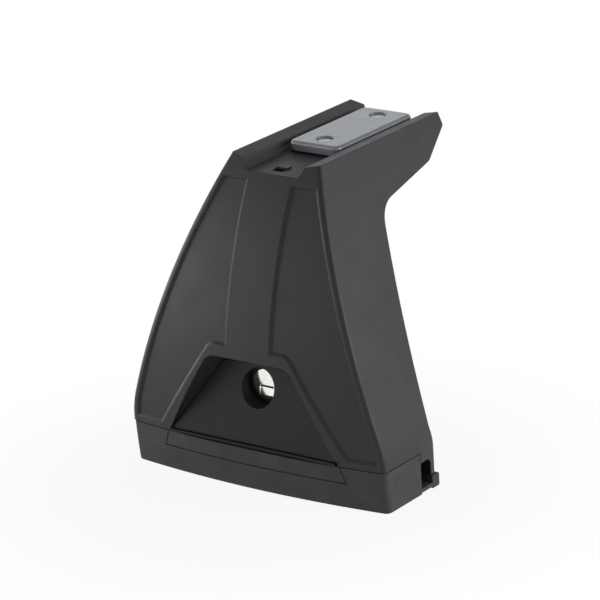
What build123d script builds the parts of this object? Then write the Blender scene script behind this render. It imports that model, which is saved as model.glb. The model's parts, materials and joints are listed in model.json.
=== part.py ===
from build123d import *
import math
import os

os.makedirs("parts", exist_ok=True)

# Frame: X across the foot, Y from the outer face (minus) to the overhang (plus), Z up, zero on the underside.
# All lengths in millimetres, angles in degrees.
TOP_Z = 151.3
BASE_X = 72.7
NOSE_Y = 111.3
SEAM_Z = 20.7
SEAM_GAP = 0.45

# Blanks and cutters run past the part by this much, or right through it.
PAST = 5.0
LONG = 2 * TOP_Z

# Outer face: one upright arc, bowed in plan about a distant upright axis.
FACE_Y = -16.9
FACE_Z = 30.9
FACE_R = 237.0
FACE_CY = FACE_Y + FACE_R
PLAN_R = 550.0
PLAN_CY = FACE_Y + PLAN_R
SWING = 13.0
RIDGE_R = 2.0

# Half widths of the leg seen from the front.
FLARE = 2.32
WAIST_X = BASE_X - FLARE
WAIST_Z = 35.3
TOP_X = 25.2
WALL = 3.0
FRONT_WALL = 4.0

# Bar channel between the two wings, with depths below their tops.
WING_IN_X = 17.4
WING_IN_D = 1.5
LEDGE_X = 16.6
LEDGE_D = 3.9
FLOOR_X = 14.8
FLOOR_D = 6.1
FLOOR_T = 4.0
WING_IN_Z = TOP_Z - WING_IN_D
LEDGE_Z = TOP_Z - LEDGE_D
FLOOR_Z = TOP_Z - FLOOR_D
CEILING_Z = FLOOR_Z - FLOOR_T
NOTCH_X = 3.1
NOTCH_L = 3.6
NOTCH_IN = 6.716
NOTCH_LIP = 1.6

# Rear outline and overhang, as Y and Z, with depths below the wings' tops.
NOSE_D = 6.1
NOSE_R = 1.5
HEEL_IN = 19.4
HEEL_D = 17.7
HEEL_R = 6.0
THROAT_Y = 47.6
THROAT_D = 25.9
THROAT_R = 15.0
NOSE_Z = TOP_Z - NOSE_D
HEEL_Y = NOSE_Y - HEEL_IN
HEEL_Z = TOP_Z - HEEL_D
THROAT_Z = TOP_Z - THROAT_D
BACK_MID_Y = 32.4
BACK_MID_Z = 73.3
BACK_LOW_Y = 26.6
BACK_LOW_Z = 31.0
BACK_LOW_R = 14.0
SKIRT_Y = 28.3
SKIRT_Z = 22.3
SKIRT_R = 24.0
SKIRT_LOW_Z = 6.5
SLOT_Y0 = 16.5
SLOT_Y1 = 25.2
SLOT_Z = 15.5
SLOT_R = 3.5

# Bevel along the rear edges of the sides.
BEVEL_W = 11.0
BEVEL_D = 1.0

# Recessed panels of the outer face.
PANEL_D = 1.1
PANEL_BORDER = 4.2
PANEL_TOP_D = 10.5
PANEL_SIDE = 19.0
PANEL_RISE = 4.1
PANEL_TOP_Z = TOP_Z - PANEL_TOP_D
PANEL_LOW_X = BASE_X - PANEL_SIDE
PANEL_LOW_Z = SEAM_Z + PANEL_RISE
SPINE_X = 13.4
LIMB_X = 22.5
LIMB_R = 7.0
RIM_W = 1.3
RIM_D = 0.95

# Hollows of the leg and of the overhang, their ribs and the keeper shelf above the lock.
NECK_IN = 7.6
NECK_D = 13.4
POCKET_IN = 9.3
POCKET_D = 7.4
POCKET_RIB_T = 2.6
RIB_X = 24.0
RIB_T = 2.2
RIB_LOW_Z = 77.0
KEEPER_X = 12.0
KEEPER_Y = 11.7
KEEPER_T = 4.0

# Access opening and cover.
OPEN_AHEAD = 0.1
OPEN_PLANE_Y = FACE_Y - OPEN_AHEAD
OPEN_TOP_X = 23.8
OPEN_TOP_Z = 63.9
LIMB_RISE = 5.4
LIMB_Z = OPEN_TOP_Z + LIMB_RISE
OPEN_SIDE = 15.4
OPEN_LOW_X = BASE_X - OPEN_SIDE
OPEN_LOW_Z = 8.0
OPEN_R = 7.0
DRAFT = 24.0
FRAME_DEPTH = 16.5
FRAME_START = 4.5
FRAME_TOP_W = 0.6
FRAME_LOW_W = 2.2
FRAME_PAST = 3.0
COVER_Y = -13.6
COVER_Z = 24.0
COVER_LEAN = 15.0
COVER_T = 2.8
COVER_GAP = 0.35
COVER_SIDE_GAP = 0.4
COVER_TOP_GAP = 0.2
COVER_R_GAP = 0.3
LIP_T = 1.2
TAB_X = 28.0
TAB_Y = -6.4
TAB_W = 7.0
TAB_T = 2.0
TAB_ARM = 6.0
TAB_RISE = 0.4
TAB_DEPTH = 3.2
TAB_PLAY = 1.0
TAB_SHIFT = 0.2

# Lock, on an axis along Y; sleeve, flange, tunnel and clip are rings about the barrel.
RUN = 0.05
FIT = 0.1
LOCK_Z = 47.6
LOCK_FACE_Y = -0.8
BARREL_R = 7.2
SLEEVE_WALL = 1.4
FLANGE_W = 0.6
TUNNEL_WALL = 2.0
CLIP_LIP = 1.2
SLEEVE_R = BARREL_R + SLEEVE_WALL
LOCK_HOLE_R = SLEEVE_R + FLANGE_W
TUNNEL_R = LOCK_HOLE_R + TUNNEL_WALL
CLIP_R = TUNNEL_R + CLIP_LIP
CLIP_T = 1.2
GROOVE_D = 0.6
TUNNEL_END_Y = 4.0
TUNNEL_GAP = 0.5
CLEAR_Y0 = -4.7
CLEAR_Y1 = 7.3
SEAT_T = 2.0
SLEEVE_Y0 = 0.2
SLEEVE_Y1 = 15.8
CAP_LIP = 0.3
CAP_R = BARREL_R + CAP_LIP
CAP_T = 0.9
CAP_EDGE = 0.35
CORE_Y1 = 16.0
CAM_T = 2.5
CAM_L = 20.0
CAM_W = 10.0
CAM_R = 2.0
CAM_BOSS = 2.0
CAM_HEAD_R = 4.6
CAM_HEAD_T = 2.2
CAM_SCREW_R = 1.5
CAM_SCREW_L = 4.2
CAM_HOLE_L = 4.6
CAM_CROSS_L = 4.2
CAM_CROSS_W = 1.0
CAM_CROSS_D = 1.2
DRIVE = 5.6
KEY_X = 7.8
KEY_Z = 1.3
KEY_DROP = 1.4
KEY_EASE = 0.2
KEY_END = 2.4
GUIDE_L = 3.6
GUIDE_D = 0.6
WAFER_COUNT = 5
WAFER_T = 1.2
WAFER_SET = 0.7
WAFER_X = BARREL_R - WAFER_SET
WAFER_Z = 5.0
WAFER_START = 3.0
WAFER_STEP = 2.3
WAFER_LAP = 0.3

# Rubber pad and its hook.
PAD_REAR_Y = 16.3
PAD_CORNER_R = 3.2
PAD_EDGE_R = 0.8
PAD_TOP_SIDE = 2.5
PAD_TOP_END = 4.0
PAD_TOP_SHIFT = 1.2
HOOK_SIDE = 0.3
HOOK_X = BASE_X - HOOK_SIDE
HOOK_ROOT = 1.0
HOOK_Y0 = 25.6
HOOK_Y1 = 30.9
HOOK_Z = 6.3
WEB_LOW_Z = 0.9
WEB_TOP_Z = 2.8
LINE_SIDE = 20.1
LINE_X = BASE_X - LINE_SIDE
LINE_Z = 12.2
LINE_W = 0.7
LINE_D = 0.6
LINE_SLOPE = 0.39
LINE_MITRE = 1.1

# Foot plate and the studs that come up through it.
STUD_X = 20.0
STUD_Y = 4.5
STUD_R = 4.5
STUD_GAP = 0.5
PAD_HOLE_GAP = 0.8
PLATE_X = 35.0
PLATE_Y = 9.0
PLATE_T = 4.0
PLATE_CORNER_R = 3.0
EDGE = 0.5
FOOT_FLOOR_SIDE = 6.7
FOOT_FLOOR_T = 4.0
FOOT_FLOOR_Y = -10.2
SCREW_X = 30.0
SCREW_R = 2.0
SCREW_HEAD_R = 3.7
SCREW_HEAD_T = 2.4
SCREW_L = 7.4
SCREW_GAP = 0.2
SCREW_TIP = 0.6
SCREW_CROWN = 1.3
SCREW_SIDE = 0.4
SCREW_BROW = 0.8
SCREW_CROSS_L = 3.6
SCREW_CROSS_W = 0.9

# Bar clamp plate and its bolts.
BOLT_Y0 = 55.1
BOLT_IN = 13.6
BOLT_Y1 = NOSE_Y - BOLT_IN
CLAMP_X = 14.3
CLAMP_Y0 = 45.2
CLAMP_IN = 4.3
CLAMP_LOW_D = 5.4
CLAMP_TOP_D = 0.9
CLAMP_Y1 = NOSE_Y - CLAMP_IN
CLAMP_Z0 = TOP_Z - CLAMP_LOW_D
CLAMP_Z1 = TOP_Z - CLAMP_TOP_D
CLAMP_CORNER_R = 3.6
CLAMP_EDGE_R = 1.6
THREAD_R = 4.0
MOUTH = 0.4
BOLT_GAP = 0.5
BOLT_SINK = 0.9
BOLT_TIP = 0.7
BORE_R = 8.6
BORE_D = 1.6
WASHER_R = 8.0
WASHER_T = 1.6
SPRING_R = 6.9
SPRING_T = 1.6
EYE_R = 4.3
HEAD_T = 4.4
HEAD_R = 7.0
HEAD_CROWN = 3.0
HEAD_SIDE = 0.9
HEAD_BROW = 1.7
HEAD_RIM = 0.6
SOCKET = 2.5
SOCKET_D = 2.6
SLIT_L = 4.0
SLIT_W = 0.7
SLIT_TURN = 20.0


def front_y(z, inset=0.0):
    return FACE_CY - math.sqrt((FACE_R - inset) ** 2 - (z - FACE_Z) ** 2)


def out(y):
    return PLAN_CY - y


def under_z(y):
    return THROAT_Z + (HEEL_Z - THROAT_Z) * (y - THROAT_Y) / (HEEL_Y - THROAT_Y)


def near(v, a, b, reach=0.6):
    return abs(v.X - a) < reach and abs(v.Y - b) < reach


def is_front(p):
    y = PLAN_CY - math.hypot(p.X, p.Y - PLAN_CY)
    return abs(FACE_R - math.hypot(y - FACE_CY, p.Z - FACE_Z)) < 0.05


def is_skin(face):
    return len(face.inner_wires()) == 2 and is_front(face.position_at(0.5, 0.5))


def is_sheet(face, side):
    middle = face.center()
    return side * middle.X > TOP_X and middle.Z > WAIST_Z and abs(face.normal_at(middle).X) > 0.7


def is_rear(edge):
    p = edge.position_at(0.5)
    return edge.bounding_box().size.Z > 0.5 and not is_front(p) and p.Y < NOSE_Y + PAST - 0.1


def is_ridge(edge):
    p = edge.position_at(0.5)
    return edge.bounding_box().size.Z > PAST and abs(p.X) > LIMB_X and is_front(p)


def front_arc(z0, z1, inset=0.0):
    middle = (z0 + z1) / 2
    ThreePointArc(
        (out(front_y(z0, inset)), z0),
        (out(front_y(middle, inset)), middle),
        (out(front_y(z1, inset)), z1),
    )


def front_shell(z0, z1, inset):
    """Outline of the layer taken off the outer face, inset deep and running clear in front of it."""
    front_arc(z0, z1, inset)
    front_arc(z0, z1, -PAST)
    Line((out(front_y(z0, inset)), z0), (out(front_y(z0, -PAST)), z0))
    Line((out(front_y(z1, inset)), z1), (out(front_y(z1, -PAST)), z1))


def front_blank(z0, z1, inset, rear):
    """Outline of everything behind the outer face, as far back as rear."""
    front_arc(z0, z1, inset)
    Polyline(
        (out(front_y(z1, inset)), z1),
        (out(rear), z1),
        (out(rear), z0),
        (out(front_y(z0, inset)), z0),
    )


def flank(shift=0.0):
    """Right side of the leg seen from the front, from the bottom to the top, moved out by shift."""
    foot = Line((BASE_X + shift, -PAST), (BASE_X + shift, SEAM_Z))
    curl = TangentArc(foot @ 1, (WAIST_X + shift, WAIST_Z), tangent=foot % 1)
    TangentArc(curl @ 1, (TOP_X + shift, TOP_Z), tangent=curl % 1)


SPIN = Axis((0, PLAN_CY, 0), (0, 0, 1))
START = math.radians(-SWING)
SPIN_PLANE = Plane(
    origin=(0, PLAN_CY, 0),
    x_dir=(math.sin(START), -math.cos(START), 0),
    z_dir=(-math.cos(START), -math.sin(START), 0),
)
OPEN_PLANE = Plane(origin=(0, OPEN_PLANE_Y, 0), x_dir=(-1, 0, 0), z_dir=(0, 1, 0))
AHEAD_Y = FACE_Y - 4 * PAST
FLOOR_TOP_Z = SEAM_Z + FOOT_FLOOR_T
NOTCH_Y = front_y(FLOOR_Z) + NOTCH_IN

# Hollow of the leg: open below behind the foot floor, with ribs, lock keeper and opening frame left standing.
with BuildPart() as cavity:
    with BuildSketch(SPIN_PLANE):
        with BuildLine():
            front_blank(-PAST, TOP_Z + PAST, FRONT_WALL, THROAT_Y + 4 * PAST)
        make_face()
    revolve(axis=SPIN, revolution_arc=2 * SWING)
    with BuildSketch(Plane.XZ):
        with BuildLine():
            flank(-WALL)
            Line((BASE_X - WALL, -PAST), (0, -PAST))
            Line((TOP_X - WALL, TOP_Z), (0, TOP_Z))
            mirror(about=Plane.YZ)
        make_face()
    extrude(amount=LONG, both=True, mode=Mode.INTERSECT)
    with BuildSketch(Plane.YZ):
        neck = (THROAT_Y - NECK_IN, THROAT_Z - NECK_D)
        with BuildLine():
            Polyline(
                (THROAT_Y - PAST, CEILING_Z),
                (AHEAD_Y, CEILING_Z),
                (AHEAD_Y, FLOOR_TOP_Z),
                (SLOT_Y0, FLOOR_TOP_Z),
                (SLOT_Y0, -PAST),
                (SLOT_Y1, -PAST),
                (SLOT_Y1, SKIRT_Z),
                (BACK_LOW_Y - WALL, BACK_LOW_Z),
            )
            ThreePointArc((BACK_LOW_Y - WALL, BACK_LOW_Z), (BACK_MID_Y - WALL, BACK_MID_Z), neck)
            Line(neck, (THROAT_Y - PAST, CEILING_Z))
        make_face()
    extrude(amount=LONG, both=True, mode=Mode.INTERSECT)
    rib_mid_z = (RIB_LOW_Z + TOP_Z) / 2
    with Locations((RIB_X, THROAT_Y / 2, rib_mid_z), (-RIB_X, THROAT_Y / 2, rib_mid_z)):
        Box(RIB_T, 2 * THROAT_Y, TOP_Z - RIB_LOW_Z, mode=Mode.SUBTRACT)
    with Locations((0, 0, LOCK_Z + 2 * LOCK_HOLE_R)):
        Box(2 * KEEPER_X, 2 * KEEPER_Y, KEEPER_T, mode=Mode.SUBTRACT)
    with BuildSketch(OPEN_PLANE.offset(FRAME_START)):
        with BuildLine():
            Polyline(
                (-OPEN_LOW_X - FRAME_LOW_W, OPEN_LOW_Z),
                (-OPEN_TOP_X - FRAME_TOP_W, OPEN_TOP_Z + FRAME_TOP_W),
                (OPEN_TOP_X + FRAME_TOP_W, OPEN_TOP_Z + FRAME_TOP_W),
                (OPEN_LOW_X + FRAME_LOW_W, OPEN_LOW_Z),
                close=True,
            )
        make_face()
    extrude(amount=FRAME_DEPTH - FRAME_START, taper=DRAFT, mode=Mode.SUBTRACT)

# Hollow of the overhang, reached from below, with one rib between the bolts.
with BuildPart() as pocket:
    with BuildSketch(Plane.XZ):
        with BuildLine():
            flank(-WALL - BEVEL_D / 2)
            Line((BASE_X - WALL - BEVEL_D / 2, -PAST), (0, -PAST))
            Line((TOP_X - WALL - BEVEL_D / 2, TOP_Z), (0, TOP_Z))
            mirror(about=Plane.YZ)
        make_face()
    extrude(amount=LONG, both=True)
    with BuildSketch(Plane.YZ):
        with BuildLine():
            Polyline(
                (BOLT_Y0 - POCKET_IN, THROAT_Z - POCKET_D),
                (BOLT_Y0 - POCKET_IN, CEILING_Z),
                (NOSE_Y - PAST, CEILING_Z),
                (NOSE_Y - PAST, THROAT_Z - POCKET_D),
                close=True,
            )
        make_face()
    extrude(amount=LONG, both=True, mode=Mode.INTERSECT)
    with Locations((0, (BOLT_Y0 + BOLT_Y1) / 2, CEILING_Z)):
        Box(2 * BASE_X, POCKET_RIB_T, 2 * (CEILING_Z - THROAT_Z + POCKET_D), mode=Mode.SUBTRACT)

# Recess of one front panel; the other is its mirror image.
with BuildPart() as panel:
    with BuildSketch(SPIN_PLANE):
        with BuildLine():
            front_shell(-PAST, TOP_Z + PAST, PANEL_D)
        make_face()
    revolve(axis=SPIN, revolution_arc=2 * SWING)
    with BuildSketch(Plane.XZ) as panel_face:
        with BuildLine():
            flank(-PANEL_BORDER)
            Polyline(
                (TOP_X - PANEL_BORDER, TOP_Z),
                (0, TOP_Z),
                (0, -PAST),
                (BASE_X - PANEL_BORDER, -PAST),
            )
        make_face()
        with BuildLine():
            Polyline(
                (BASE_X, PANEL_TOP_Z),
                (SPINE_X, PANEL_TOP_Z),
                (SPINE_X, LIMB_Z),
                (LIMB_X, LIMB_Z),
                (PANEL_LOW_X, PANEL_LOW_Z),
                (BASE_X, PANEL_LOW_Z),
                close=True,
            )
        make_face(mode=Mode.INTERSECT)
        fillet([v for v in panel_face.vertices() if near(v, LIMB_X, LIMB_Z)], LIMB_R)
    extrude(amount=LONG, both=True, mode=Mode.INTERSECT)

# Rear of the leg seen from the side, with the overhang and the skirt running on past their ends.
with BuildSketch(Plane.YZ) as rear_outline:
    with BuildLine():
        Polyline(
            (BACK_LOW_Y, BACK_LOW_Z),
            (SKIRT_Y, SKIRT_Z),
            (SKIRT_Y, -PAST),
            (AHEAD_Y, -PAST),
            (AHEAD_Y, TOP_Z + PAST),
            (NOSE_Y + PAST, TOP_Z + PAST),
            (NOSE_Y + PAST, under_z(NOSE_Y + PAST)),
            (THROAT_Y, THROAT_Z),
        )
        ThreePointArc((THROAT_Y, THROAT_Z), (BACK_MID_Y, BACK_MID_Z), (BACK_LOW_Y, BACK_LOW_Z))
    make_face()
    fillet([v for v in rear_outline.vertices() if near(v, THROAT_Y, THROAT_Z)], THROAT_R)
    fillet([v for v in rear_outline.vertices() if near(v, BACK_LOW_Y, BACK_LOW_Z)], BACK_LOW_R)
    fillet([v for v in rear_outline.vertices() if near(v, SKIRT_Y, SKIRT_Z)], SKIRT_R)

# Ends of that outline: nose and heel above, slot and seam below.
with BuildSketch(Plane.YZ) as end_outline:
    with BuildLine():
        Polyline(
            (AHEAD_Y, SEAM_Z),
            (AHEAD_Y, TOP_Z + PAST),
            (NOSE_Y, TOP_Z + PAST),
            (NOSE_Y, NOSE_Z),
            (HEEL_Y, HEEL_Z),
            ((HEEL_Y + THROAT_Y) / 2, (HEEL_Z + THROAT_Z) / 2),
            ((HEEL_Y + THROAT_Y) / 2, SKIRT_LOW_Z),
            (SLOT_Y1, SKIRT_LOW_Z),
            (SLOT_Y1, SLOT_Z),
            (SLOT_Y0, SLOT_Z),
            (SLOT_Y0, SEAM_Z),
            close=True,
        )
    make_face()
    fillet([v for v in end_outline.vertices() if near(v, HEEL_Y, HEEL_Z)], HEEL_R)
    fillet([v for v in end_outline.vertices() if near(v, NOSE_Y, NOSE_Z)], NOSE_R)
    fillet([v for v in end_outline.vertices() if near(v, SLOT_Y1, SLOT_Z)], SLOT_R)

# Leg: one moulding.
with BuildPart() as leg_housing:
    with BuildSketch(SPIN_PLANE):
        with BuildLine():
            front_blank(-PAST, TOP_Z + PAST, 0.0, NOSE_Y + 3 * PAST)
        make_face()
    revolve(axis=SPIN, revolution_arc=2 * SWING)
    with BuildSketch(Plane.XZ):
        with BuildLine():
            flank()
            Line((BASE_X, -PAST), (0, -PAST))
            Polyline(
                (TOP_X, TOP_Z),
                (WING_IN_X, WING_IN_Z),
                (LEDGE_X, LEDGE_Z),
                (FLOOR_X, FLOOR_Z),
                (0, FLOOR_Z),
            )
            mirror(about=Plane.YZ)
        make_face()
    extrude(amount=LONG, both=True, mode=Mode.INTERSECT)
    extrude(rear_outline.sketch, amount=LONG, both=True, mode=Mode.INTERSECT)
    for side in (1, -1):
        sheet = [f for f in leg_housing.faces() if is_sheet(f, side)][0]
        chamfer([e for e in sheet.edges() if is_rear(e)], length=BEVEL_W, length2=BEVEL_D, reference=sheet)
    extrude(end_outline.sketch, amount=LONG, both=True, mode=Mode.INTERSECT)
    fillet([e for e in leg_housing.edges() if is_ridge(e)], RIDGE_R)
    add(cavity.part, mode=Mode.SUBTRACT)
    add(pocket.part, mode=Mode.SUBTRACT)
    add(panel.part, mode=Mode.SUBTRACT)
    add(mirror(panel.part, about=Plane.YZ, mode=Mode.PRIVATE), mode=Mode.SUBTRACT)
    with BuildSketch(OPEN_PLANE) as opening:
        with BuildLine():
            Polyline(
                (-OPEN_LOW_X, OPEN_LOW_Z),
                (-OPEN_TOP_X, OPEN_TOP_Z),
                (OPEN_TOP_X, OPEN_TOP_Z),
                (OPEN_LOW_X, OPEN_LOW_Z),
                close=True,
            )
        make_face()
        fillet([v for v in opening.vertices() if v.Y > OPEN_LOW_Z + 1], OPEN_R)
    extrude(amount=FRAME_DEPTH + FRAME_PAST, taper=DRAFT, mode=Mode.SUBTRACT)
    with BuildSketch(Plane.XZ.offset(-CLEAR_Y0)):
        with Locations((0, LOCK_Z)):
            Circle(TUNNEL_R + TUNNEL_GAP)
    extrude(amount=-(CLEAR_Y1 - CLEAR_Y0), mode=Mode.SUBTRACT)
    with Locations((0, (SLOT_Y0 + FOOT_FLOOR_Y) / 2, SEAM_Z + FOOT_FLOOR_T / 2)):
        Box(2 * (BASE_X - FOOT_FLOOR_SIDE), SLOT_Y0 - FOOT_FLOOR_Y, FOOT_FLOOR_T)
    with Locations((STUD_X, STUD_Y, SEAM_Z), (-STUD_X, STUD_Y, SEAM_Z)):
        Cylinder(STUD_R + STUD_GAP, 3 * FOOT_FLOOR_T, mode=Mode.SUBTRACT)
    with Locations((SCREW_X, STUD_Y, SEAM_Z), (-SCREW_X, STUD_Y, SEAM_Z)):
        Cylinder(SCREW_R + RUN, 3 * FOOT_FLOOR_T, mode=Mode.SUBTRACT)
    with Locations((TAB_X, TAB_Y - TAB_SHIFT, SEAM_Z), (-TAB_X, TAB_Y - TAB_SHIFT, SEAM_Z)):
        Box(TAB_W + 2 * TAB_PLAY, TAB_T + TAB_PLAY, 3 * FOOT_FLOOR_T, mode=Mode.SUBTRACT)
    with Locations((0, BOLT_Y0, FLOOR_Z), (0, BOLT_Y1, FLOOR_Z)):
        Cylinder(THREAD_R + BOLT_GAP, 3 * FLOOR_T, mode=Mode.SUBTRACT)
    with Locations((0, BOLT_Y0, CEILING_Z), (0, BOLT_Y1, CEILING_Z)):
        Cylinder(BORE_R, 2 * BORE_D, mode=Mode.SUBTRACT)
    with Locations((0, NOTCH_Y, FLOOR_Z)):
        Box(2 * NOTCH_X, NOTCH_L, 3 * FLOOR_T, mode=Mode.SUBTRACT)
    with Locations((0, NOTCH_Y + NOTCH_L, FLOOR_Z)):
        Box(2 * NOTCH_X, NOTCH_L, NOTCH_LIP)
    skin = [f for f in leg_housing.faces() if is_skin(f)][0]
    rims = [e for w in skin.inner_wires() for e in w.edges()]
    chamfer(rims, length=RIM_W, length2=RIM_D, reference=skin)
leg_housing.part.label = "leg_housing"
export_step(leg_housing.part, "parts/leg_housing.step")

# Thin line round the panel on the front of the pad.
with BuildPart() as pad_line:
    with BuildSketch(SPIN_PLANE):
        with BuildLine():
            front_shell(-PAST, 2 * SEAM_Z, LINE_D)
        make_face()
    revolve(axis=SPIN, revolution_arc=2 * SWING)
    with BuildSketch(Plane.XZ):
        for inset, mode in ((0.0, Mode.ADD), (LINE_W, Mode.SUBTRACT)):
            low_x = LINE_X - LINE_MITRE * inset
            low_z = LINE_Z + inset
            top_x = low_x - LINE_SLOPE * (SEAM_Z + PAST - low_z)
            Polygon(
                (-top_x, SEAM_Z + PAST),
                (-low_x, low_z),
                (low_x, low_z),
                (top_x, SEAM_Z + PAST),
                align=None,
                mode=mode,
            )
    extrude(amount=LONG, both=True, mode=Mode.INTERSECT)

# Rubber pad with its rear hook: one moulding.
with BuildPart() as foot_pad:
    with BuildSketch(SPIN_PLANE):
        with BuildLine():
            front_blank(-PAST, 2 * SEAM_Z, 0.0, PAD_REAR_Y)
        make_face()
    revolve(axis=SPIN, revolution_arc=2 * SWING)
    with Locations((0, 0, SEAM_Z / 2)):
        Box(2 * BASE_X, 2 * PAD_REAR_Y, SEAM_Z, mode=Mode.INTERSECT)
    corners = [e for e in foot_pad.edges() if e.bounding_box().size.Z > SEAM_Z - PAST and e.center().Y < 0]
    fillet(corners, PAD_CORNER_R)
    with BuildSketch(Plane.XY.offset(SEAM_Z - SEAM_GAP)):
        Rectangle(LONG, LONG)
        with Locations((0, PAD_TOP_SHIFT)):
            Rectangle(2 * (BASE_X - PAD_TOP_SIDE), 2 * (PAD_REAR_Y - PAD_TOP_END), mode=Mode.SUBTRACT)
    extrude(amount=PAST, mode=Mode.SUBTRACT)
    fillet([e for e in foot_pad.edges() if e.center().Z < 0.01], PAD_EDGE_R)
    add(pad_line.part, mode=Mode.SUBTRACT)
    with Locations((STUD_X, STUD_Y, SEAM_Z / 2), (-STUD_X, STUD_Y, SEAM_Z / 2)):
        Cylinder(STUD_R + PAD_HOLE_GAP, 2 * SEAM_Z, mode=Mode.SUBTRACT)
    with BuildSketch(Plane.YZ) as hook:
        with BuildLine():
            Polyline(
                (PAD_REAR_Y - HOOK_ROOT, WEB_LOW_Z),
                (HOOK_Y0, WEB_LOW_Z),
                (HOOK_Y0, 0),
                (HOOK_Y1, 0),
                (HOOK_Y1, HOOK_Z),
                (HOOK_Y0, HOOK_Z),
                (HOOK_Y0, WEB_TOP_Z),
                (PAD_REAR_Y - HOOK_ROOT, WEB_TOP_Z),
                close=True,
            )
        make_face()
        fillet([v for v in hook.vertices() if near(v, HOOK_Y1, HOOK_Z)], PAD_EDGE_R)
        fillet([v for v in hook.vertices() if near(v, HOOK_Y1, 0)], PAD_EDGE_R)
    extrude(amount=HOOK_X, both=True)
foot_pad.part.label = "foot_pad"
export_step(foot_pad.part, "parts/foot_pad.step")

# Steel plate over the pad, with the two stud holes.
with BuildPart() as foot_plate:
    with BuildSketch(Plane.XY.offset(FLOOR_TOP_Z)):
        with Locations((0, STUD_Y)):
            RectangleRounded(2 * PLATE_X, 2 * PLATE_Y, PLATE_CORNER_R)
        with Locations((STUD_X, STUD_Y), (-STUD_X, STUD_Y)):
            Circle(STUD_R, mode=Mode.SUBTRACT)
        with Locations((SCREW_X, STUD_Y), (-SCREW_X, STUD_Y)):
            Circle(SCREW_R + SCREW_GAP, mode=Mode.SUBTRACT)
    extrude(amount=PLATE_T)
    chamfer(foot_plate.faces().sort_by(Axis.Z)[-1].outer_wire().edges(), EDGE)
foot_plate.part.label = "foot_plate"
export_step(foot_plate.part, "parts/foot_plate.step")

SCREW_TOP = FLOOR_TOP_Z + PLATE_T

with BuildPart() as foot_plate_screw_left:
    with BuildSketch(Plane.XZ.offset(-STUD_Y)):
        axis_x = -SCREW_X
        crown_z = SCREW_TOP + SCREW_HEAD_T
        tip_z = SCREW_TOP - SCREW_L
        with BuildLine():
            Polyline((axis_x, tip_z), (axis_x, crown_z), (axis_x + SCREW_HEAD_R - SCREW_CROWN, crown_z))
            ThreePointArc(
                (axis_x + SCREW_HEAD_R - SCREW_CROWN, crown_z),
                (axis_x + SCREW_HEAD_R - SCREW_SIDE, crown_z - SCREW_BROW),
                (axis_x + SCREW_HEAD_R, SCREW_TOP),
            )
            Polyline(
                (axis_x + SCREW_HEAD_R, SCREW_TOP),
                (axis_x + SCREW_R, SCREW_TOP),
                (axis_x + SCREW_R, tip_z + SCREW_TIP),
                (axis_x + SCREW_R - SCREW_TIP, tip_z),
                (axis_x, tip_z),
            )
        make_face()
    revolve(axis=Axis((-SCREW_X, STUD_Y, 0), (0, 0, 1)))
    with Locations((-SCREW_X, STUD_Y, crown_z)):
        Box(SCREW_CROSS_L, SCREW_CROSS_W, SCREW_HEAD_T, mode=Mode.SUBTRACT)
        Box(SCREW_CROSS_W, SCREW_CROSS_L, SCREW_HEAD_T, mode=Mode.SUBTRACT)
foot_plate_screw_left.part.label = "foot_plate_screw_left"
export_step(foot_plate_screw_left.part, "parts/foot_plate_screw_left.step")

with BuildPart() as foot_plate_screw_right:
    add(mirror(foot_plate_screw_left.part, about=Plane.YZ, mode=Mode.PRIVATE))
foot_plate_screw_right.part.label = "foot_plate_screw_right"
export_step(foot_plate_screw_right.part, "parts/foot_plate_screw_right.step")

# Cover of the access opening: a leaning plate with a bottom lip, two tabs and the lock tunnel.
LEAN = math.tan(math.radians(COVER_LEAN))
LIP_Z = SEAM_Z + COVER_GAP
LIP_TOP_Z = LIP_Z + LIP_T
COVER_TOP_Z = OPEN_TOP_Z + PAST


def cover_y(z):
    return COVER_Y + (z - COVER_Z) * LEAN


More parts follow.
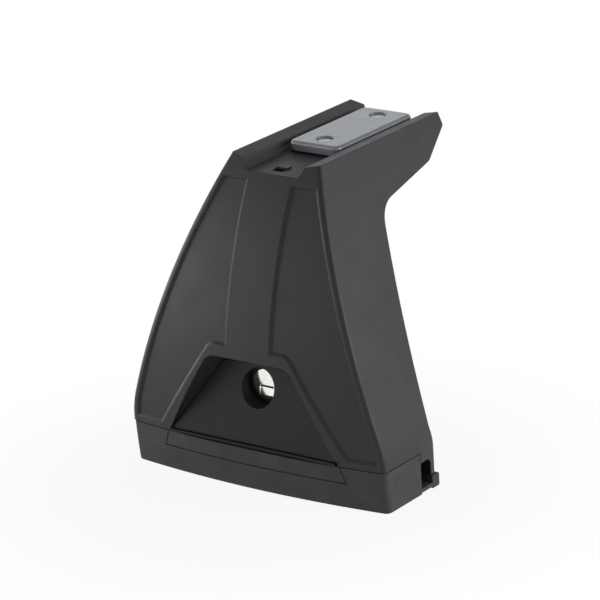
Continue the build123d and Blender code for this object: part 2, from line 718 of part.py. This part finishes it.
with BuildPart() as access_cover:
    with BuildSketch(OPEN_PLANE) as cover_face:
        with BuildLine():
            Polyline(
                (-OPEN_LOW_X + COVER_SIDE_GAP, OPEN_LOW_Z),
                (-OPEN_TOP_X + COVER_TOP_GAP, OPEN_TOP_Z - COVER_GAP),
                (OPEN_TOP_X - COVER_TOP_GAP, OPEN_TOP_Z - COVER_GAP),
                (OPEN_LOW_X - COVER_SIDE_GAP, OPEN_LOW_Z),
                close=True,
            )
        make_face()
        fillet([v for v in cover_face.vertices() if v.Y > OPEN_LOW_Z + 1], OPEN_R - COVER_R_GAP)
    extrude(amount=FRAME_DEPTH + FRAME_PAST, taper=DRAFT)
    with BuildSketch(Plane.YZ):
        with BuildLine():
            Polyline(
                (FACE_Y + COVER_T / 3, LIP_Z),
                (FACE_Y + COVER_T / 3, LIP_TOP_Z),
                (cover_y(LIP_TOP_Z), LIP_TOP_Z),
                (cover_y(COVER_TOP_Z), COVER_TOP_Z),
                (cover_y(COVER_TOP_Z) + COVER_T, COVER_TOP_Z),
                (cover_y(LIP_Z) + COVER_T, LIP_Z),
                close=True,
            )
        make_face()
    extrude(amount=LONG, both=True, mode=Mode.INTERSECT)
    with BuildSketch(Plane.XZ.offset(-TUNNEL_END_Y)):
        with Locations((0, LOCK_Z)):
            Circle(TUNNEL_R)
    extrude(amount=TUNNEL_END_Y - cover_y(LOCK_Z) + PAST)
    with BuildSketch(Plane.YZ):
        with BuildLine():
            Polyline(
                (AHEAD_Y, LIP_TOP_Z),
                (cover_y(LIP_TOP_Z), LIP_TOP_Z),
                (cover_y(COVER_TOP_Z), COVER_TOP_Z),
                (AHEAD_Y, COVER_TOP_Z),
                close=True,
            )
        make_face()
    extrude(amount=LONG, both=True, mode=Mode.SUBTRACT)
    with BuildSketch(Plane.XZ.offset(-TUNNEL_END_Y)):
        with Locations((0, LOCK_Z)):
            Circle(SLEEVE_R + RUN)
    extrude(amount=LONG, mode=Mode.SUBTRACT)
    with BuildSketch(Plane.XZ.offset(-TUNNEL_END_Y + SEAT_T)):
        with Locations((0, LOCK_Z)):
            Circle(LOCK_HOLE_R)
    extrude(amount=LONG, mode=Mode.SUBTRACT)
    arm_y = TAB_Y + (TAB_T - TAB_ARM) / 2
    arm_z = FLOOR_TOP_Z + TAB_RISE + TAB_T / 2
    with Locations((TAB_X, arm_y, arm_z), (-TAB_X, arm_y, arm_z)):
        Box(TAB_W, TAB_ARM, TAB_T)
    tab_z = FLOOR_TOP_Z + (TAB_RISE + TAB_T - TAB_DEPTH) / 2
    with Locations((TAB_X, TAB_Y, tab_z), (-TAB_X, TAB_Y, tab_z)):
        Box(TAB_W, TAB_T, TAB_RISE + TAB_T + TAB_DEPTH)
access_cover.part.label = "access_cover"
export_step(access_cover.part, "parts/access_cover.step")

# Lock: a fixed sleeve in the tunnel and the turning core inside it.
with BuildPart() as lock_sleeve:
    with BuildSketch(Plane.XZ.offset(-SLEEVE_Y0)):
        with Locations((0, LOCK_Z)):
            Circle(LOCK_HOLE_R - FIT)
    extrude(amount=-(TUNNEL_END_Y - SEAT_T - SLEEVE_Y0))
    with BuildSketch(Plane.XZ.offset(-SLEEVE_Y0)):
        with Locations((0, LOCK_Z)):
            Circle(SLEEVE_R)
    extrude(amount=-(SLEEVE_Y1 - SLEEVE_Y0))
    with BuildSketch(Plane.XZ.offset(-TUNNEL_END_Y)):
        with Locations((0, LOCK_Z)):
            Circle(SLEEVE_R + PAST)
            Circle(SLEEVE_R - GROOVE_D, mode=Mode.SUBTRACT)
    extrude(amount=-CLIP_T, mode=Mode.SUBTRACT)
    with BuildSketch(Plane.XZ):
        with Locations((0, LOCK_Z)):
            Circle(BARREL_R + RUN)
    extrude(amount=-LONG, mode=Mode.SUBTRACT)
lock_sleeve.part.label = "lock_sleeve"
export_step(lock_sleeve.part, "parts/lock_sleeve.step")

with BuildPart() as sleeve_clip:
    with BuildSketch(Plane.XZ.offset(-TUNNEL_END_Y)):
        with Locations((0, LOCK_Z)):
            Circle(CLIP_R)
            Circle(SLEEVE_R - GROOVE_D + RUN, mode=Mode.SUBTRACT)
        with Locations((0, LOCK_Z - CLIP_R)):
            Rectangle(2 * (SLEEVE_R - GROOVE_D + RUN), 2 * CLIP_R, mode=Mode.SUBTRACT)
    extrude(amount=-(CLIP_T - FIT))
sleeve_clip.part.label = "sleeve_clip"
export_step(sleeve_clip.part, "parts/sleeve_clip.step")

KEY_MID_Z = LOCK_Z - KEY_DROP
WAFER_SPOTS = [(0, SLEEVE_Y0 + WAFER_START + WAFER_STEP * i, LOCK_Z) for i in range(WAFER_COUNT)]

with BuildPart() as lock_barrel:
    with BuildSketch(Plane.XZ.offset(-(LOCK_FACE_Y + CAP_T))):
        with Locations((0, LOCK_Z)):
            Circle(BARREL_R)
    extrude(amount=-(CORE_Y1 - LOCK_FACE_Y - CAP_T))
    with BuildSketch(Plane.XZ.offset(-CORE_Y1)):
        with Locations((0, LOCK_Z)):
            Rectangle(DRIVE, DRIVE)
    extrude(amount=-(CAM_T - FIT))
    with BuildSketch(Plane.XZ):
        with Locations((0, KEY_MID_Z)):
            Rectangle(KEY_X, KEY_Z)
    extrude(amount=-(CORE_Y1 - KEY_END), mode=Mode.SUBTRACT)
    with Locations(*WAFER_SPOTS):
        Box(2 * BARREL_R + PAST, WAFER_T + FIT, WAFER_Z + FIT, mode=Mode.SUBTRACT)
    with BuildSketch(Plane.XZ.offset(-CORE_Y1 - CAM_T)):
        with Locations((0, LOCK_Z)):
            Circle(CAM_SCREW_R + RUN)
    extrude(amount=CAM_HOLE_L, mode=Mode.SUBTRACT)
lock_barrel.part.label = "lock_barrel"
export_step(lock_barrel.part, "parts/lock_barrel.step")

# Face of the lock: a cap with a level keyway and a sloping guide below it.
with BuildPart() as barrel_cap:
    with BuildSketch(Plane.XZ.offset(-LOCK_FACE_Y)):
        with Locations((0, LOCK_Z)):
            Circle(CAP_R)
    extrude(amount=-CAP_T)
    chamfer(barrel_cap.faces().sort_by(Axis.Y)[0].edges(), CAP_EDGE)
    with BuildSketch(Plane.XZ.offset(-LOCK_FACE_Y + PAST)):
        with Locations((0, KEY_MID_Z)):
            Rectangle(KEY_X + 2 * KEY_EASE, KEY_Z)
    extrude(amount=-(CAP_T + 2 * PAST), mode=Mode.SUBTRACT)
    with BuildSketch(Plane.YZ):
        with BuildLine():
            Polyline(
                (LOCK_FACE_Y - PAST, KEY_MID_Z),
                (LOCK_FACE_Y + GUIDE_D, KEY_MID_Z),
                (LOCK_FACE_Y + GUIDE_D, KEY_MID_Z - KEY_Z / 2),
                (LOCK_FACE_Y, KEY_MID_Z - KEY_Z / 2 - GUIDE_L),
                (LOCK_FACE_Y - PAST, KEY_MID_Z - KEY_Z / 2 - GUIDE_L),
                close=True,
            )
        make_face()
    extrude(amount=KEY_X / 2 + KEY_EASE, both=True, mode=Mode.SUBTRACT)
barrel_cap.part.label = "barrel_cap"
export_step(barrel_cap.part, "parts/barrel_cap.step")

with BuildPart() as lock_wafers:
    with Locations(*WAFER_SPOTS):
        Box(2 * WAFER_X, WAFER_T, WAFER_Z)
    with Locations((0, CORE_Y1 / 2, KEY_MID_Z)):
        Box(KEY_X - 2 * WAFER_LAP, CORE_Y1 + PAST, KEY_Z + WAFER_LAP, mode=Mode.SUBTRACT)
lock_wafers.part.label = "lock_wafers"
export_step(lock_wafers.part, "parts/lock_wafers.step")

with BuildPart() as lock_cam:
    with BuildSketch(Plane.XZ.offset(-CORE_Y1)) as cam_face:
        with Locations((0, LOCK_Z)):
            Circle(CAM_W / 2 + CAM_BOSS)
        with Locations((0, LOCK_Z + CAM_L / 2)):
            Rectangle(CAM_W, CAM_L)
        fillet([v for v in cam_face.vertices() if v.Y > LOCK_Z + CAM_L - CAM_R], CAM_R)
        with Locations((0, LOCK_Z)):
            Rectangle(DRIVE + FIT, DRIVE + FIT, mode=Mode.SUBTRACT)
    extrude(amount=-CAM_T)
lock_cam.part.label = "lock_cam"
export_step(lock_cam.part, "parts/lock_cam.step")

with BuildPart() as cam_screw:
    with BuildSketch(Plane.XZ.offset(-CORE_Y1 - CAM_T)):
        with Locations((0, LOCK_Z)):
            Circle(CAM_HEAD_R)
    extrude(amount=-CAM_HEAD_T)
    chamfer(cam_screw.faces().sort_by(Axis.Y)[-1].edges(), EDGE)
    with Locations((0, CORE_Y1 + CAM_T + CAM_HEAD_T, LOCK_Z)):
        Box(CAM_CROSS_L, 2 * CAM_CROSS_D, CAM_CROSS_W, mode=Mode.SUBTRACT)
        Box(CAM_CROSS_W, 2 * CAM_CROSS_D, CAM_CROSS_L, mode=Mode.SUBTRACT)
    with BuildSketch(Plane.XZ.offset(-CORE_Y1 - CAM_T)):
        with Locations((0, LOCK_Z)):
            Circle(CAM_SCREW_R)
    extrude(amount=CAM_SCREW_L)
cam_screw.part.label = "cam_screw"
export_step(cam_screw.part, "parts/cam_screw.step")

# Clamp plate that takes the bar, with two threaded holes.
with BuildPart() as bar_clamp_plate:
    with BuildSketch(Plane.XY.offset(CLAMP_Z0)):
        with Locations((0, (CLAMP_Y0 + CLAMP_Y1) / 2)):
            RectangleRounded(2 * CLAMP_X, CLAMP_Y1 - CLAMP_Y0, CLAMP_CORNER_R)
    extrude(amount=CLAMP_Z1 - CLAMP_Z0)
    fillet(bar_clamp_plate.faces().sort_by(Axis.Z)[-1].edges(), CLAMP_EDGE_R)
    with Locations((0, BOLT_Y0, CLAMP_Z0), (0, BOLT_Y1, CLAMP_Z0)):
        Cylinder(THREAD_R, LONG, mode=Mode.SUBTRACT)
    rounds = bar_clamp_plate.edges().filter_by(GeomType.CIRCLE)
    mouths = [e for e in rounds if e.center().Z > CLAMP_Z1 - 0.01 and abs(e.radius - THREAD_R) < 0.01]
    chamfer(mouths, MOUTH)
bar_clamp_plate.part.label = "bar_clamp_plate"
export_step(bar_clamp_plate.part, "parts/bar_clamp_plate.step")

# Bolt stack under the channel floor, front bolt first.
WASHER_Z = CEILING_Z + BORE_D - WASHER_T
SPRING_Z = WASHER_Z - SPRING_T
HEAD_Z = SPRING_Z - HEAD_T
BOLT_STEP = Location((0, BOLT_Y1 - BOLT_Y0, 0))

with BuildPart() as front_flat_washer:
    with BuildSketch(Plane.XY.offset(WASHER_Z)):
        with Locations((0, BOLT_Y0)):
            Circle(WASHER_R)
            Circle(EYE_R, mode=Mode.SUBTRACT)
    extrude(amount=WASHER_T)
front_flat_washer.part.label = "front_flat_washer"
export_step(front_flat_washer.part, "parts/front_flat_washer.step")

with BuildPart() as rear_flat_washer:
    add(front_flat_washer.part.moved(BOLT_STEP))
rear_flat_washer.part.label = "rear_flat_washer"
export_step(rear_flat_washer.part, "parts/rear_flat_washer.step")

with BuildPart() as front_spring_washer:
    with BuildSketch(Plane.XY.offset(SPRING_Z)):
        with Locations((0, BOLT_Y0)):
            Circle(SPRING_R)
            Circle(EYE_R, mode=Mode.SUBTRACT)
        with Locations(Location(((EYE_R + SPRING_R) / 2, BOLT_Y0, 0), SLIT_TURN)):
            Rectangle(SLIT_L, SLIT_W, mode=Mode.SUBTRACT)
    extrude(amount=SPRING_T)
front_spring_washer.part.label = "front_spring_washer"
export_step(front_spring_washer.part, "parts/front_spring_washer.step")

with BuildPart() as rear_spring_washer:
    add(front_spring_washer.part.moved(BOLT_STEP))
rear_spring_washer.part.label = "rear_spring_washer"
export_step(rear_spring_washer.part, "parts/rear_spring_washer.step")

with BuildPart() as front_clamp_bolt:
    with BuildSketch(Plane.YZ):
        shank_y = BOLT_Y0 + THREAD_R - RUN
        end_z = CLAMP_Z1 - BOLT_SINK
        rim_z = SPRING_Z - HEAD_RIM
        with BuildLine():
            Line((BOLT_Y0, HEAD_Z), (BOLT_Y0 + HEAD_R - HEAD_CROWN, HEAD_Z))
            ThreePointArc(
                (BOLT_Y0 + HEAD_R - HEAD_CROWN, HEAD_Z),
                (BOLT_Y0 + HEAD_R - HEAD_SIDE, HEAD_Z + HEAD_BROW),
                (BOLT_Y0 + HEAD_R, rim_z),
            )
            Polyline(
                (BOLT_Y0 + HEAD_R, rim_z),
                (BOLT_Y0 + HEAD_R, SPRING_Z),
                (shank_y, SPRING_Z),
                (shank_y, end_z - BOLT_TIP),
                (shank_y - BOLT_TIP, end_z),
                (BOLT_Y0, end_z),
                (BOLT_Y0, HEAD_Z),
            )
        make_face()
    revolve(axis=Axis((0, BOLT_Y0, 0), (0, 0, 1)))
    with BuildSketch(Plane.XY.offset(HEAD_Z)):
        with Locations((0, BOLT_Y0)):
            RegularPolygon(SOCKET, 6, major_radius=False)
    extrude(amount=SOCKET_D, mode=Mode.SUBTRACT)
front_clamp_bolt.part.label = "front_clamp_bolt"
export_step(front_clamp_bolt.part, "parts/front_clamp_bolt.step")

with BuildPart() as rear_clamp_bolt:
    add(front_clamp_bolt.part.moved(BOLT_STEP))
rear_clamp_bolt.part.label = "rear_clamp_bolt"
export_step(rear_clamp_bolt.part, "parts/rear_clamp_bolt.step")
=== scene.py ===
import json
import math
import bpy
from mathutils import Matrix, Vector

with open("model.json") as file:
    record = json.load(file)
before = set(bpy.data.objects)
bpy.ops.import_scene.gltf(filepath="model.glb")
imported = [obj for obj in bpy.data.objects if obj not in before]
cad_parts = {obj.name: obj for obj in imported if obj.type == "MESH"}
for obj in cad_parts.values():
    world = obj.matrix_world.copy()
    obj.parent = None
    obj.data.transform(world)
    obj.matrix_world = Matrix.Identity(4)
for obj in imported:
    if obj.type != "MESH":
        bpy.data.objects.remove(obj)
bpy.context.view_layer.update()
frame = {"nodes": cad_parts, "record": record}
scene = bpy.context.scene

# Lengths are in metres. A texture's scale is a number of cells in a metre.
MM = 0.001

# Most values of a texture lie between these two.
TEXTURE_LOW = 0.3
TEXTURE_HIGH = 0.7

# Upward share of a face's normal: below the first it is upright, and above the second it isn't.
UPRIGHT = 0.15
SLOPING = 0.60
EDGE_SAMPLES = 4
WHITE = (1.0, 1.0, 1.0, 1.0)


class Tree:
    """A node tree, with short ways to add, set and link its nodes."""

    def __init__(self, tree):
        self.tree = tree

    def add(self, kind, inputs=None, **settings):
        node = self.tree.nodes.new(kind)
        for key, value in settings.items():
            setattr(node, key, value)
        for key, value in (inputs or {}).items():
            node.inputs[key].default_value = value
        return node

    def link(self, source, target):
        self.tree.links.new(source, target)

    def maths(self, operation, *values):
        """Result of one Math node for up to two values."""
        node = self.add("ShaderNodeMath", operation=operation)
        for value, socket in zip(values, node.inputs):
            self.link(value, socket)
        return node.outputs[0]

    def remapped(self, value, source, target, interpolation="LINEAR"):
        """The value carried from one range to the other, and held at its ends."""
        node = self.add("ShaderNodeMapRange", interpolation_type=interpolation)
        for key, number in zip(("From Min", "From Max", "To Min", "To Max"), (*source, *target)):
            node.inputs[key].default_value = number
        self.link(value, node.inputs["Value"])
        return node.outputs["Result"]

    def upward(self, direction):
        node = self.add("ShaderNodeSeparateXYZ")
        self.link(direction, node.inputs["Vector"])
        return node.outputs["Z"]

    def seen_ray(self):
        """One for rays that show a surface to the camera, straight or by way of metal or glass."""
        path = self.add("ShaderNodeLightPath").outputs
        direct = self.maths("MAXIMUM", path["Is Camera Ray"], path["Is Glossy Ray"])
        return self.maths("MAXIMUM", direct, path["Is Transmission Ray"])

    def show(self, output, share, first, second):
        """Ends the tree in an output that mixes a share of the second shader into the first."""
        mix = self.add("ShaderNodeMixShader")
        self.link(share, mix.inputs["Fac"])
        self.link(first.outputs[0], mix.inputs[1])
        self.link(second.outputs[0], mix.inputs[2])
        self.link(mix.outputs[0], self.add(output).inputs["Surface"])


class Surface(Tree):
    """A material with one Principled shader, textured by object coordinates."""

    def __init__(self, name):
        self.material = bpy.data.materials.new(name)
        self.material.use_nodes = True
        super().__init__(self.material.node_tree)
        self.shader = self.tree.nodes["Principled BSDF"]
        self.coords = self.add("ShaderNodeTexCoord").outputs["Object"]

    def stretched(self, scale, centre=(0.0, 0.0, 0.0)):
        """Object coordinates about a centre, scaled along each axis."""
        start = [-c * k for c, k in zip(centre, scale)]
        mapping = self.add("ShaderNodeMapping", {"Location": start, "Scale": scale})
        self.link(self.coords, mapping.inputs["Vector"])
        return mapping.outputs["Vector"]

    def noise(self, scale, detail, vector=None):
        node = self.add("ShaderNodeTexNoise", {"Scale": scale, "Detail": detail})
        self.link(vector or self.coords, node.inputs["Vector"])
        return node.outputs["Fac"]

    def cells(self, scale):
        node = self.add("ShaderNodeTexVoronoi", {"Scale": scale})
        self.link(self.coords, node.inputs["Vector"])
        return node.outputs["Distance"]

    def rings(self, scale, distortion, detail, vector):
        inputs = {"Scale": scale, "Distortion": distortion, "Detail": detail}
        node = self.add("ShaderNodeTexWave", inputs, wave_type="RINGS", rings_direction="SPHERICAL")
        self.link(vector, node.inputs["Vector"])
        return node.outputs["Fac"]

    def tinted(self, texture, shade, darkest, palest):
        """The shade, times a factor that follows the texture."""
        node = self.add("ShaderNodeValToRGB")
        ends = zip(node.color_ramp.elements, (TEXTURE_LOW, TEXTURE_HIGH), (darkest, palest))
        for element, position, factor in ends:
            element.position = position
            element.color = (*(min(1.0, factor * channel) for channel in shade), 1.0)
        self.link(texture, node.inputs["Fac"])
        return node.outputs["Color"]

    def spread(self, texture, low, high):
        return self.remapped(texture, (TEXTURE_LOW, TEXTURE_HIGH), (low, high))

    def on_upright_faces(self, value):
        """The value on upright faces, falling to nothing on level ones."""
        normal = self.add("ShaderNodeNewGeometry").outputs["Normal"]
        level = self.maths("ABSOLUTE", self.upward(normal))
        return self.remapped(level, (UPRIGHT, SLOPING), (value, 0.0))

    def eased_edges(self, radius):
        return self.add("ShaderNodeBevel", {"Radius": radius}, samples=EDGE_SAMPLES).outputs["Normal"]

    def bump(self, texture, depth, strength, under=None):
        node = self.add("ShaderNodeBump", {"Strength": strength, "Distance": depth})
        self.link(texture, node.inputs["Height"])
        if under is not None:
            self.link(under, node.inputs["Normal"])
        return node.outputs["Normal"]

    def finished(self, colour, rough, normal, steady=None):
        """The material, with its textured inputs linked and its steady ones set on the shader."""
        for key, socket in {"Base Color": colour, "Roughness": rough, "Normal": normal}.items():
            self.link(socket, self.shader.inputs[key])
        for key, value in (steady or {}).items():
            self.shader.inputs[key].default_value = value
        return self.material


def grained_plastic(name, shade, rough, gloss, grain, depth):
    """Spark-eroded moulding: two sizes of fine grain, eased edges, faint flow clouds and patchy gloss."""
    s = Surface(name)
    pebbles = s.bump(s.cells(scale=grain), depth, strength=0.35, under=s.eased_edges(radius=0.45 * MM))
    return s.finished(
        colour=s.tinted(s.noise(scale=26.0, detail=4.0), shade, darkest=0.86, palest=1.14),
        rough=s.spread(s.noise(scale=60.0, detail=3.0), low=rough - 0.05, high=rough + 0.05),
        normal=s.bump(s.noise(scale=0.45 * grain, detail=3.0), depth, strength=0.3, under=pebbles),
        steady={"Specular IOR Level": gloss},
    )


def moulded_rubber(name, shade):
    """Matt rubber: dusty bloom in soft patches and a dry, slightly pitted skin."""
    s = Surface(name)
    return s.finished(
        colour=s.tinted(s.noise(scale=38.0, detail=5.0), shade, darkest=0.84, palest=1.18),
        rough=s.spread(s.noise(scale=90.0, detail=2.0), low=0.62, high=0.76),
        normal=s.bump(s.noise(scale=1500.0, detail=4.0), depth=0.04 * MM, strength=0.4),
        steady={"Specular IOR Level": 0.42},
    )


def plated_steel(name, shade, rough, line_scale):
    """Zinc plated steel: fine lines along one axis, cloudy plating, fine pits and dull, eased edges."""
    s = Surface(name)
    lines = s.noise(scale=1.0, detail=3.0, vector=s.stretched(line_scale))
    lined = s.spread(lines, low=rough - 0.04, high=rough + 0.05)
    pitting = s.noise(scale=2600.0, detail=2.0)
    pits = s.bump(pitting, depth=0.01 * MM, strength=0.25, under=s.eased_edges(radius=0.5 * MM))
    return s.finished(
        colour=s.tinted(s.noise(scale=120.0, detail=4.0), shade, darkest=0.9, palest=1.06),
        rough=s.maths("MAXIMUM", lined, s.on_upright_faces(value=0.62)),
        normal=s.bump(lines, depth=0.008 * MM, strength=0.12, under=pits),
        steady={"Metallic": 1.0},
    )


def turned_metal(name, shade, rough, centre, axis_scale):
    """Turned or polished metal: rings about the turning axis and faint clouds."""
    s = Surface(name)
    rings = s.rings(scale=1400.0, distortion=0.6, detail=2.0, vector=s.stretched(axis_scale, centre))
    return s.finished(
        colour=s.tinted(s.noise(scale=400.0, detail=3.0), shade, darkest=0.92, palest=1.05),
        rough=s.spread(rings, low=rough - 0.03, high=rough + 0.05),
        normal=s.bump(rings, depth=0.004 * MM, strength=0.25),
        steady={"Metallic": 1.0},
    )


def painted_casting(name, shade):
    """Black painted die casting: orange peel under a satin coat."""
    s = Surface(name)
    return s.finished(
        colour=s.tinted(s.noise(scale=300.0, detail=3.0), shade, darkest=0.85, palest=1.15),
        rough=s.spread(s.noise(scale=500.0, detail=2.0), low=0.34, high=0.46),
        normal=s.bump(s.noise(scale=1800.0, detail=2.0), depth=0.02 * MM, strength=0.3),
    )


# Rings of the lock's turned metal lie about its own hinge, and hardly change along that axis.
joints = {joint["name"]: joint for joint in frame["record"]["behaviour"]["joints"]}
LOCK_AXIS = {"centre": joints["lock_turn"]["pos_m"], "axis_scale": (1.0, 0.05, 1.0)}

# Scales of the lines in plated steel, smallest along the lines.
ALONG_X = (80.0, 900.0, 900.0)
ALONG_Y = (1100.0, 45.0, 1100.0)
ALONG_Z = (700.0, 700.0, 90.0)

# One finish for each material slot of the record.
finishes = {
    "moulded_plastic": grained_plastic(
        "charcoal_moulding",
        (0.0187, 0.0185, 0.0201),
        rough=0.48,
        gloss=0.34,
        grain=2600.0,
        depth=0.03 * MM,
    ),
    # Same grained moulding as the housing, with a much darker shade: painted shade for the cover and its
    # lock hole, which sit in a shaded recess.
    "cover_plastic": grained_plastic(
        "cover_moulding_with_painted_shade",
        (0.0085, 0.0085, 0.0091),
        rough=0.46,
        gloss=0.20,
        grain=3200.0,
        depth=0.02 * MM,
    ),
    "pad_rubber": moulded_rubber("pad_rubber", (0.037, 0.0355, 0.034)),
    "zinc_steel": plated_steel("zinc_steel", (0.60, 0.61, 0.63), rough=0.34, line_scale=ALONG_X),
    "clamp_steel": plated_steel("clamp_steel", (0.233, 0.246, 0.264), rough=0.24, line_scale=ALONG_Y),
    "bolt_steel": plated_steel("bolt_steel", (0.56, 0.57, 0.59), rough=0.32, line_scale=ALONG_Z),
    "spring_steel": plated_steel("spring_steel", (0.40, 0.40, 0.42), rough=0.40, line_scale=ALONG_Z),
    "lock_body": painted_casting("lock_body", (0.035, 0.035, 0.037)),
    "lock_brass": turned_metal("lock_brass", (0.72, 0.56, 0.30), rough=0.30, **LOCK_AXIS),
    "lock_face": turned_metal("lock_face", (0.89, 0.875, 0.845), rough=0.11, **LOCK_AXIS),
}

for part in frame["record"]["subparts"]:
    mesh = frame["nodes"][part["node"]].data
    mesh.materials.clear()
    mesh.materials.append(finishes[part["material_slot"]])

# Floor, set just below the object so that the two share no plane.
FLOOR_REACH = 4.0
FLOOR_DROP = 0.1 * MM
FLOOR_COLOUR = (0.86, 0.86, 0.87, 1.0)

# Distances from the middle, and how much of the floor that is seen there is plain white.
GLOW_RADII = (0.06, 0.20)
GLOW_SHARES = (0.91, 1.0)


def floor_material():
    """Pale floor that reads as white to the camera and keeps a soft shadow round the object."""
    material = bpy.data.materials.new("floor")
    material.use_nodes = True
    material.node_tree.nodes.clear()
    t = Tree(material.node_tree)
    pale = t.add("ShaderNodeBsdfDiffuse", {"Color": FLOOR_COLOUR})
    glow = t.add("ShaderNodeEmission", {"Color": WHITE})
    away = t.add("ShaderNodeVectorMath", operation="LENGTH")
    t.link(t.add("ShaderNodeTexCoord").outputs["Object"], away.inputs[0])
    white = t.remapped(away.outputs["Value"], GLOW_RADII, GLOW_SHARES, "SMOOTHSTEP")
    t.show("ShaderNodeOutputMaterial", t.maths("MULTIPLY", t.seen_ray(), white), pale, glow)
    return material


def add_floor():
    corners = [(x * FLOOR_REACH, y * FLOOR_REACH, 0.0) for x, y in ((-1, -1), (1, -1), (1, 1), (-1, 1))]
    mesh = bpy.data.meshes.new("floor")
    mesh.from_pydata(corners, [], [(0, 1, 2, 3)])
    mesh.materials.append(floor_material())
    floor = bpy.data.objects.new("floor", mesh)
    floor.location.z = -FLOOR_DROP
    scene.collection.objects.link(floor)


# World: a soft fill for what it lights, and a backdrop where it is seen, itself or in a reflection.
FILL_COLOUR = (0.96, 0.97, 1.0, 1.0)
FILL_LEVEL = 0.30

# Upward shares of a direction, and the backdrop's level there: white low down, grey at the ceiling.
CEILING_HEIGHTS = (0.32, 0.54)
CEILING_LEVELS = (1.0, 0.55)


def add_world():
    world = bpy.data.worlds.new("studio")
    world.use_nodes = True
    world.node_tree.nodes.clear()
    t = Tree(world.node_tree)
    fill = t.add("ShaderNodeBackground", {"Color": FILL_COLOUR, "Strength": FILL_LEVEL})
    backdrop = t.add("ShaderNodeBackground", {"Color": WHITE})
    height = t.upward(t.add("ShaderNodeTexCoord").outputs["Generated"])
    level = t.remapped(height, CEILING_HEIGHTS, CEILING_LEVELS, "SMOOTHSTEP")
    t.link(level, backdrop.inputs["Strength"])
    t.show("ShaderNodeOutputWorld", t.seen_ray(), fill, backdrop)
    scene.world = world


LAMP_TARGET = Vector((0.0, 0.02, 0.075))


def add_softbox(name, towards, distance, width, height, power, tint):
    """An area lamp that faces the object, at a distance from it towards a direction."""
    lamp = bpy.data.lights.new(name, "AREA")
    lamp.shape = "RECTANGLE"
    lamp.size = width
    lamp.size_y = height
    lamp.energy = power
    lamp.color = tint
    holder = bpy.data.objects.new(name, lamp)
    direction = Vector(towards).normalized()
    holder.location = LAMP_TARGET + direction * distance
    holder.rotation_mode = "QUATERNION"
    holder.rotation_quaternion = (-direction).to_track_quat("-Z", "Y")
    scene.collection.objects.link(holder)


# Camera at the viewing angle worked out from the object's own edges. Angles in degrees, lens in millimetres.
CAMERA_PLACE = Vector((0.922335, -1.176875, 0.609541))
CAMERA_AZIMUTH = 37.42127
CAMERA_ELEVATION = 19.25633
CAMERA_ROLL = 3.56380
SENSOR_WIDTH = 36.0
FOCAL_LENGTH = 207.547
CLIP_START = 0.05
CLIP_END = 20.0


def turn(degrees, axis):
    return Matrix.Rotation(math.radians(degrees), 4, axis)


def add_camera():
    lens = bpy.data.cameras.new("camera")
    lens.sensor_width = SENSOR_WIDTH
    lens.lens = FOCAL_LENGTH
    lens.clip_start = CLIP_START
    lens.clip_end = CLIP_END
    camera = bpy.data.objects.new("camera", lens)
    aim = turn(CAMERA_AZIMUTH, "Z") @ turn(90.0 - CAMERA_ELEVATION, "X") @ turn(-CAMERA_ROLL, "Z")
    camera.matrix_world = Matrix.Translation(CAMERA_PLACE) @ aim
    scene.collection.objects.link(camera)
    scene.camera = camera


add_floor()
add_world()
add_softbox(
    "softbox_right",
    towards=(0.93, 0.28, 0.11),
    distance=1.1,
    width=0.8,
    height=0.8,
    power=10.9,
    tint=(0.965, 0.945, 1.0),
)
add_softbox(
    "softbox_left",
    towards=(-0.93, -0.37, 0.02),
    distance=1.0,
    width=0.8,
    height=0.5,
    power=7.5,
    tint=(1.0, 0.99, 0.98),
)
add_camera()
scene.view_settings.view_transform = "Standard"
